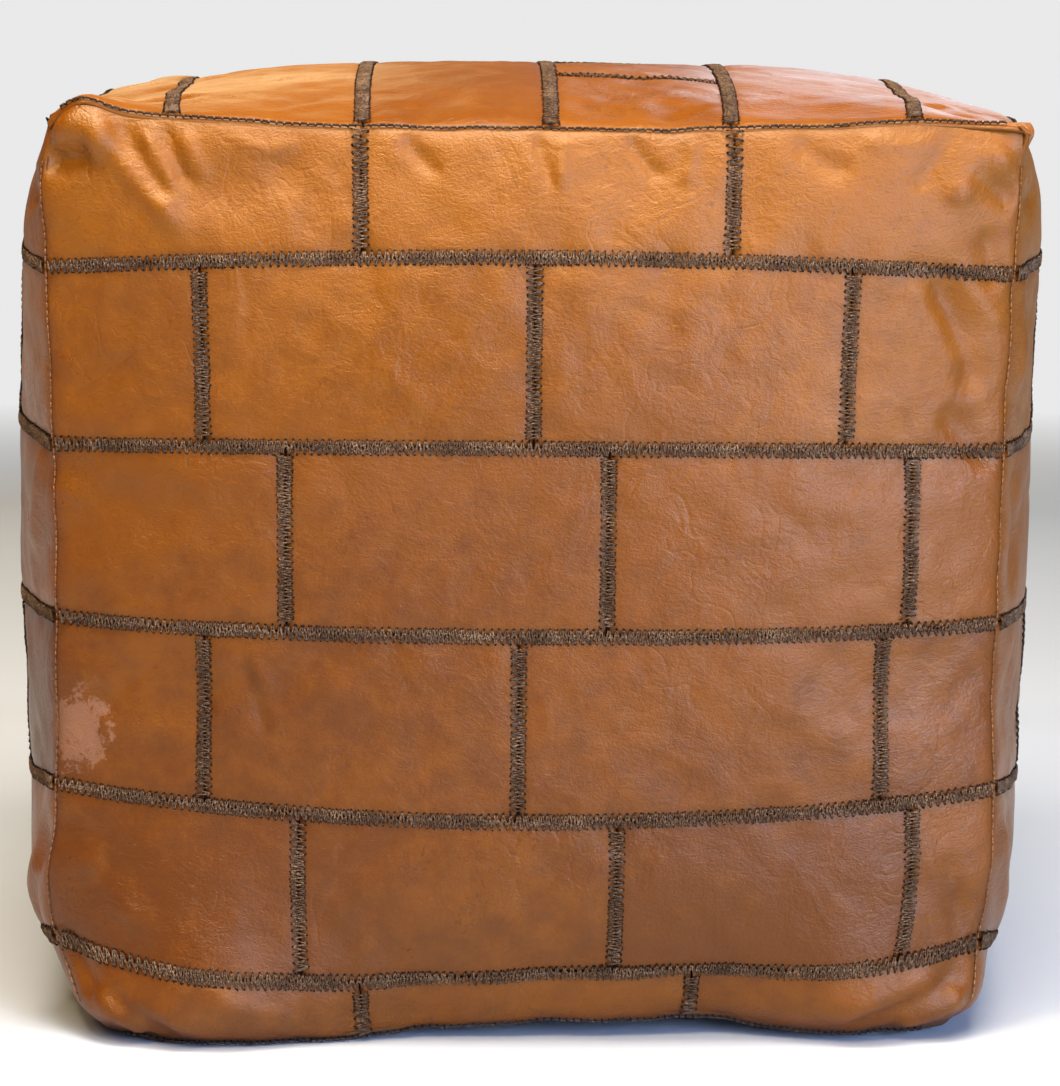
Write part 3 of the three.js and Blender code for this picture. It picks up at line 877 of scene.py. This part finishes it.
def thread_material(name, dark, middle, light):
    material, g, shader = new_material(name)
    where = g.place()
    fleck = g.noise(where, 900.0, 2.0, 0.7)
    wear = g.noise(where, 60.0, 2.0, 0.6)
    colour = g.ramp(g.math("ADD", g.math("MULTIPLY", fleck, 0.7), g.math("MULTIPLY", wear, 0.3)),
                    ((0.36, dark), (0.5, middle), (0.66, light)))
    # painted shade: the thread's colour goes nearly black towards the needle holes and along the level
    # edges' grooves
    colour = g.blend(g.math("MULTIPLY", g.attribute("needle_hole_shade"), 0.95), colour, (0.006, 0.003, 0.002))
    g.wire(colour, shader.inputs["Base Color"])
    put(shader, **{"Roughness": 0.8, "Specular IOR Level": 0.15})
    twist = g.wave(where, "DIAGONAL", 900.0, 2.0)
    g.wire(g.bump(twist, 0.0004, 0.8), shader.inputs["Normal"])
    return material


def cloth_material(name, colour, darker, thread_scale):
    material, g, shader = new_material(name)
    where = g.place()
    waves = [g.wave(where, direction, thread_scale, 0.6) for direction in "XYZ"]
    weave = g.math("MAXIMUM", waves[0], g.math("MAXIMUM", waves[1], waves[2]))
    g.wire(g.blend(g.math("MULTIPLY", weave, 0.8), darker, colour), shader.inputs["Base Color"])
    shader.inputs["Roughness"].default_value = 0.92
    g.wire(g.bump(weave, 0.0005, 0.6), shader.inputs["Normal"])
    return material


def metal_material():
    material, g, shader = new_material("satin_brass")
    where = g.place()
    haze = g.noise(where, 240.0, 4.0, 0.6)
    colour = g.blend(g.span(haze, 0.35, 0.7, 0.0, 0.6), (0.74, 0.53, 0.25), (0.42, 0.27, 0.12))
    g.wire(colour, shader.inputs["Base Color"])
    g.wire(g.span(haze, 0.3, 0.7, 0.24, 0.48), shader.inputs["Roughness"])
    shader.inputs["Metallic"].default_value = 1.0
    g.wire(g.bump(haze, 0.0002, 0.4), shader.inputs["Normal"])
    return material


SCUFF_SPOT = (-0.219, -0.238, 0.150)     # metres
TAN = leather_material(
    "tan_leather", (0.21, 0.058, 0.002), (0.155, 0.038, 0.001), (0.095, 0.020, 0.001), 0.24, 0.42)
BASE_LEATHER = leather_material(
    "base_leather", (0.20, 0.085, 0.035), (0.14, 0.055, 0.022), (0.08, 0.03, 0.012), 0.45, 0.65)
THREAD = thread_material(
    "dark_brown_thread", (0.033, 0.017, 0.009), (0.115, 0.061, 0.030), (0.31, 0.185, 0.10))
TAN_THREAD = thread_material(
    "tan_thread", (0.12, 0.045, 0.012), (0.28, 0.11, 0.035), (0.45, 0.22, 0.09))
COTTON = cloth_material("lining_cotton", (0.80, 0.74, 0.60), (0.55, 0.49, 0.38), 420.0)
SCRAPS = cloth_material("filling_scraps", (0.70, 0.66, 0.58), (0.42, 0.38, 0.32), 160.0)
TAPE = cloth_material("zip_tape", (0.16, 0.085, 0.045), (0.07, 0.035, 0.02), 700.0)
BRASS = metal_material()


# ---- Pieces ----

def finish_piece(item, slot, *nodes):
    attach(item, "pouf")
    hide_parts(*nodes)
    return item


def spans_between(edges, end):
    limits = [-end, *sorted(edges), end]
    return list(zip(limits[:-1], limits[1:]))


def course_layout(face):
    """Each course of a face, first one first: its node number, long edges and seam places."""
    if face == "top":
        spans = spans_between(TOP_EDGES, HALF_WIDTH)
        return [(len(spans) - k, span, TOP_SEAMS[k]) for k, span in enumerate(spans)]
    spans = spans_between(COURSE_EDGES, HALF_HEIGHT)[::-1]
    layout = []
    for k, span in enumerate(spans):
        if face == "front":
            seams = FRONT_SEAMS[k]
        else:
            start = (-BRICK if k % 2 else -BRICK / 2) + BRICK_SHIFTS[face]
            places = [start + n * BRICK for n in range(3)]
            seams = [place for place in places if abs(place) < HALF_WIDTH - SHORTEST_BRICK]
        layout.append((k + 1, span, tuple(seams)))
    return layout


BRICK_SHIFTS = {"back": 8, "left": -22, "right": 14}
SHORTEST_BRICK = 20
COURSE_TONES = (0.6, 0.55, 0.45, 0.15, 0.5, 0.55)     # each course's hides: 0 dark, 1 light
TONE_SPREAD = 0.22
SEAM_MARGIN = 1.5        # seams stop this short of the cover's edges
STEPS = {"front": 2.2, "top": 3.0, "left": 3.4, "right": 3.4, "back": 4.0}


def build_face(face, rng):
    step = STEPS[face.name]
    upright = face.name == "top"
    stitches = []
    along_end = face.up if upright else HALF_WIDTH
    layout = course_layout(face.name)
    for number, span, seams in layout:
        bricks = []
        for piece in spans_between(seams, along_end):
            spans = (span, piece) if upright else (piece, span)
            hide = COURSE_TONES[number - 1] + TONE_SPREAD * rng.uniform(-1, 1)
            bricks.append(brick(face, *spans, step, hide))
        points, quads, edge, tone = merge(bricks)
        name = f"{face.name}_course_{number}"
        item = make_object(f"{name}_bricks", points, quads, TAN, {"edge": edge, "tone": tone})
        finish_piece(item, "leather_patchwork", name)
        limit = HALF_WIDTH if upright else face.up
        low = span[0] + (SEAM_MARGIN if span[0] <= -limit else BAND_REACH)
        high = span[1] - (SEAM_MARGIN if span[1] >= limit else BAND_REACH)
        for seam in seams:
            ends = ((low, seam), (high, seam)) if upright else ((seam, low), (seam, high))
            stitches += seam_stitches(face, *ends, rng)
    for edge in (TOP_EDGES if upright else COURSE_EDGES):
        reach = along_end - SEAM_MARGIN
        ends = ((edge, -reach), (edge, reach)) if upright else ((-reach, edge), (reach, edge))
        stitches += seam_stitches(face, *ends, rng, core=True)
    points, quads = merge(stitches)
    item = thread_object(f"{face.name}_zigzag", points, quads, THREAD)
    finish_piece(item, "thread", f"{face.name}_stitching")


BASE_STEPS = (5.0, 4.0)
BASE_TONE = 0.4


def build_base(face):
    flat = HALF_WIDTH / (HALF_WIDTH + EDGE_BOW)     # from millimetres on the base to the flat panel's
    slit, zip_end, rim = SLIT_HALF * flat, ZIP_HALF * flat, CHANNEL_HALF * flat
    limit = HALF_WIDTH - TURNED_GAP
    for name, side in (("base_panel_front", -1), ("base_panel_back", 1)):
        a = np.concatenate([graded(-limit, limit, BASE_STEPS[0]), [-zip_end, zip_end]])
        b = np.concatenate([graded(JOINT_HALF, limit, BASE_STEPS[1]), [slit, rim]])
        a, b = np.unique(a), np.unique(b)
        if side > 0:
            b = -b[::-1]
        grid_a, grid_b = np.meshgrid(a, b, indexing="ij")
        distances = (grid_a + limit, limit - grid_a, limit - np.abs(grid_b))
        height = -TURN_DEPTH * sum(np.exp(-d / TURN_REACH) for d in distances)
        outer, normal = face.place(grid_a, grid_b, height)
        outer[..., 2] = np.maximum(outer[..., 2], 0)
        inner = outer - normal * LEATHER
        middle_a = np.abs(a[1:] + a[:-1])[:, None] / 2
        middle_b = np.abs(b[1:] + b[:-1])[None] / 2
        keep = ~((middle_a < zip_end) & (middle_b < slit))
        points, quads, used = shell(outer, inner, keep)
        values = {"edge": nearest_edge(distances, used), "tone": np.full(len(points), BASE_TONE)}
        item = make_object(f"{name}_leather", points, quads, BASE_LEATHER, values)
        finish_piece(item, "leather_base", name)


EDGE_PITCH = 3.6
EDGE_DEPTH = 1.55        # the edges' thread lies between the turned-in leathers
EDGE_SHADE = 0.6         # and is painted darker along the level edges, as painted shade of their grooves
EDGE_THREADS = {"top": 0.62, "base": 0.62, "corner": 0.36}
EDGE_ENDS = {"top": (-0.965, 0.965), "base": (-0.93, 0.93), "corner": (-0.93, 0.89)}


def edge_point(faces, x, y, z):
    """A point of the cover's edge with its outward direction."""
    normals, point = 0, None
    for face in faces.values():
        u, v, touching = {
            "front": (x, z, y == -1), "back": (-x, z, y == 1), "left": (-y, z, x == -1),
            "right": (y, z, x == 1), "top": (x, y, z == 1), "base": (x, -y, z == -1),
        }[face.name]
        if not np.all(touching):
            continue
        a, b = np.asarray(u * HALF_WIDTH, float), np.asarray(v * face.up, float)
        normals = normals + face.look_up(face.normal, a, b)
        point = face.look_up(face.point, a, b)
    return point, unit(normals)


def build_edges(faces, rng):
    sides = {"front": (None, -1), "back": (None, 1), "left": (-1, None), "right": (1, None)}
    edges = {}
    for side, (sx, sy) in sides.items():
        edges[f"seam_top_{side}"] = (sx, sy, 1)
        edges[f"seam_base_{side}"] = (sx, sy, -1)
    for depth, sy in (("front", -1), ("back", 1)):
        for side, sx in (("left", -1), ("right", 1)):
            edges[f"seam_corner_{depth}_{side}"] = (sx, sy, None)
    for name, fixed in edges.items():
        kind = name.split("_")[1]
        half = HALF_HEIGHT if kind == "corner" else HALF_WIDTH
        first, last = EDGE_ENDS[kind]
        count = int(half * (last - first) / EDGE_PITCH)
        t = np.linspace(first, last, count + 1)
        coordinates = [t if c is None else np.full_like(t, c) for c in fixed]
        point, outward = edge_point(faces, *coordinates)
        point = point - outward * EDGE_DEPTH
        lift = rng.normal(0, 0.08, count)
        normal = unit(outward[:-1] + outward[1:])
        radius = EDGE_THREADS[kind] * (1 + rng.normal(0, 0.06, count))
        points, quads = thread_tubes(point[:-1], point[1:], normal, lift, radius)
        material, shade = (TAN_THREAD, 0.0) if kind == "corner" else (THREAD, EDGE_SHADE)
        item = thread_object(f"{name}_thread", points, quads, material, shade)
        finish_piece(item, "thread", name)


OPENING = (0.74, 0.06)   # the lining's opening along the zip, in shares of the half width


def inner_skin(faces, depth, cells, open_zip, lumps=0.0):
    """Points and quads of a skin inside the cover, with an opening along the zip if wanted."""
    _, index = box_grid(cells)
    t = np.linspace(-1, 1, cells + 1)
    u, v = np.meshgrid(t, t, indexing="ij")
    total = max(ids.max() for ids in index.values()) + 1
    points, normals, count = np.zeros((total, 3)), np.zeros((total, 3)), np.zeros((total, 1))
    quads = []
    for name, ids in index.items():
        face = faces[name]
        np.add.at(points, ids, face.look_up(face.point, u * HALF_WIDTH, v * face.up))
        np.add.at(normals, ids, face.look_up(face.normal, u * HALF_WIDTH, v * face.up))
        np.add.at(count, ids, 1)
        quad = cell_corners(ids)
        if name == "base" and open_zip:
            middle_u = np.abs(u[1:, 1:] + u[:-1, :-1]) / 2
            middle_v = np.abs(v[1:, 1:] + v[:-1, :-1]) / 2
            quad = quad[~((middle_u < OPENING[0]) & (middle_v < OPENING[1]))]
        quads.append(quad.reshape(-1, 4))
    points /= count
    wave = np.sin(points / 13.0 + 4 * np.sin(points[:, [1, 2, 0]] / 31.0)).prod(-1, keepdims=True)
    return points - unit(normals) * (depth - lumps * wave), np.concatenate(quads)


LINING_DEPTH = 9.0
FILLING_DEPTH = 12.5


def build_inside(faces):
    points, quads = inner_skin(faces, LINING_DEPTH, 72, True)
    bag = make_object("lining_bag_cotton", points, quads, COTTON)
    thickness = bag.modifiers.new("cloth thickness", "SOLIDIFY")
    thickness.thickness = 0.0008
    thickness.offset = -1
    finish_piece(bag, "lining_cotton", "lining_bag")
    points, quads = inner_skin(faces, FILLING_DEPTH, 64, False, 1.6)
    lump = make_object("filling_scraps", points, quads, SCRAPS)
    finish_piece(lump, "filling_scraps", "filling")


def dress_zip():
    for name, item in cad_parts.items():
        if not name.startswith("zip_"):
            continue
        item.data.materials.clear()
        item.data.materials.append(TAPE if "tape" in name else BRASS)


# ---- Camera, lights and floor ----

CAMERA_SPOT = (-0.0204, -2.1834, 0.5011)
CAMERA_PITCH = 0.1326
CAMERA_YAW = 0.011
CAMERA_ROLL = 0.0089
LENS_PER_HEIGHT = 4158.0 / 1086.0
SENSOR = 36.0


def add_camera():
    data = bpy.data.cameras.new("camera")
    data.sensor_width = SENSOR
    data.lens = SENSOR * LENS_PER_HEIGHT
    camera = new_object("camera", data)
    forward = Vector((
        math.sin(CAMERA_YAW) * math.cos(CAMERA_PITCH),
        math.cos(CAMERA_YAW) * math.cos(CAMERA_PITCH),
        -math.sin(CAMERA_PITCH),
    ))
    right = forward.cross(Vector((0, 0, 1))).normalized()
    up = right.cross(forward)
    turned_right = right * math.cos(CAMERA_ROLL) + up * math.sin(CAMERA_ROLL)
    turned_up = up * math.cos(CAMERA_ROLL) - right * math.sin(CAMERA_ROLL)
    axes = Matrix((turned_right, turned_up, -forward)).transposed()
    camera.matrix_world = Matrix.Translation(CAMERA_SPOT) @ axes.to_4x4()
    bpy.context.scene.camera = camera


def area_light(name, spot, target, size, power, colour):
    data = bpy.data.lights.new(name, "AREA")
    data.shape = "RECTANGLE"
    data.size, data.size_y = size
    data.energy = power
    data.color = colour
    light = new_object(name, data)
    light.location = spot
    light.rotation_euler = (Vector(target) - Vector(spot)).to_track_quat("-Z", "Y").to_euler()


MIDDLE = (0, 0, 0.24)
# Each light: name, place, what it points at, size, power, colour.
LIGHTS = (
    ("overhead", (0.0, -0.50, 1.95), (0, -0.05, 0.4), (1.3, 0.9), 72, (1.0, 0.95, 0.88)),
    ("warm_left", (-0.9, -1.7, 1.45), MIDDLE, (0.36, 0.28), 8, (1.0, 0.74, 0.42)),
    ("front_top", (0.0, -2.0, 2.15), (0, -0.2, 0.36), (1.6, 0.4), 25, (1.0, 0.92, 0.82)),
    ("window_right", (1.05, -2.0, 0.58), MIDDLE, (0.9, 0.95), 30, (0.60, 0.90, 1.6)),
    ("window_side", (1.45, -1.55, 0.55), MIDDLE, (0.5, 0.9), 16, (0.58, 0.88, 1.7)),
    ("lamp_left", (-0.75, -1.5, 2.05), MIDDLE, (0.22, 0.14), 15, (1.0, 0.86, 0.52)),
    ("lamp_right", (0.55, -1.6, 2.15), MIDDLE, (0.26, 0.16), 11, (0.88, 0.94, 1.0)),
    ("back_left", (-0.5, 2.0, 0.95), MIDDLE, (0.8, 0.5), 3.5, (1.0, 0.72, 0.34)),
    ("back_right", (0.6, 2.0, 0.95), MIDDLE, (0.8, 0.5), 4.5, (0.70, 0.86, 1.0)),
)
BACKDROP = 0.82                # what the camera sees behind the floor
HORIZON = (0.46, 0.39, 0.31)   # what lights the pouf from the sides and from below
SKY = 0.06                     # and from above


def add_lights():
    for light in LIGHTS:
        area_light(*light)
    world = bpy.data.worlds.new("soft_studio")
    world.use_nodes = True
    g = Graph(world.node_tree)
    direction = g.add("ShaderNodeSeparateXYZ")
    g.wire(g.place("Generated"), direction.inputs[0])
    rise = g.span(direction.outputs["Z"], -0.02, 0.10, 0.0, 1.0)
    sky = g.ramp(rise, ((0.0, HORIZON), (1.0, (SKY,) * 3)))
    seen = g.add("ShaderNodeLightPath").outputs["Is Camera Ray"]
    colour = g.blend(seen, sky, (BACKDROP,) * 3)
    g.wire(colour, g.nodes["Background"].inputs["Color"])
    bpy.context.scene.world = world
    bpy.context.scene.view_settings.view_transform = "Standard"


FLOOR_RADIUS = 3.0
FLOOR_SIDES = 96
FLOOR_DROP = 0.0005      # just under the pouf


def floor_material():
    """Pale floor that fades into the bright horizon at its rim."""
    material, g, shader = new_material("pale_floor")
    put(shader, **{"Base Color": (0.56, 0.56, 0.56, 1.0), "Roughness": 0.7})
    reach = g.add("ShaderNodeVectorMath", operation="LENGTH")
    g.wire(g.place(), reach.inputs[0])
    rim = g.add("ShaderNodeEmission")
    put(rim, Color=(BACKDROP, BACKDROP, BACKDROP, 1.0))
    mix = g.add("ShaderNodeMixShader")
    g.wire(g.span(reach.outputs["Value"], 1.9, 0.96 * FLOOR_RADIUS, 0.0, 1.0), mix.inputs[0])
    g.wire(shader.outputs[0], mix.inputs[1])
    g.wire(rim.outputs[0], mix.inputs[2])
    g.wire(mix.outputs[0], g.nodes["Material Output"].inputs["Surface"])
    return material


def add_floor():
    angle = np.arange(FLOOR_SIDES) / FLOOR_SIDES * 2 * math.pi
    rim = [(FLOOR_RADIUS * math.cos(t), FLOOR_RADIUS * math.sin(t), 0) for t in angle]
    mesh = bpy.data.meshes.new("floor")
    mesh.from_pydata(rim, [], [tuple(range(FLOOR_SIDES))])
    mesh.materials.append(floor_material())
    floor = new_object("floor", mesh)
    floor.location.z = -FLOOR_DROP


def main():
    add_camera()
    creases = find_creases()
    faces = {name: Face(name, creases) for name in FACES}
    rng = np.random.default_rng(SEED)
    for name in ("front", "back", "left", "right", "top"):
        build_face(faces[name], rng)
    build_base(faces["base"])
    build_edges(faces, rng)
    build_inside(faces)
    dress_zip()
    add_lights()
    add_floor()


main()
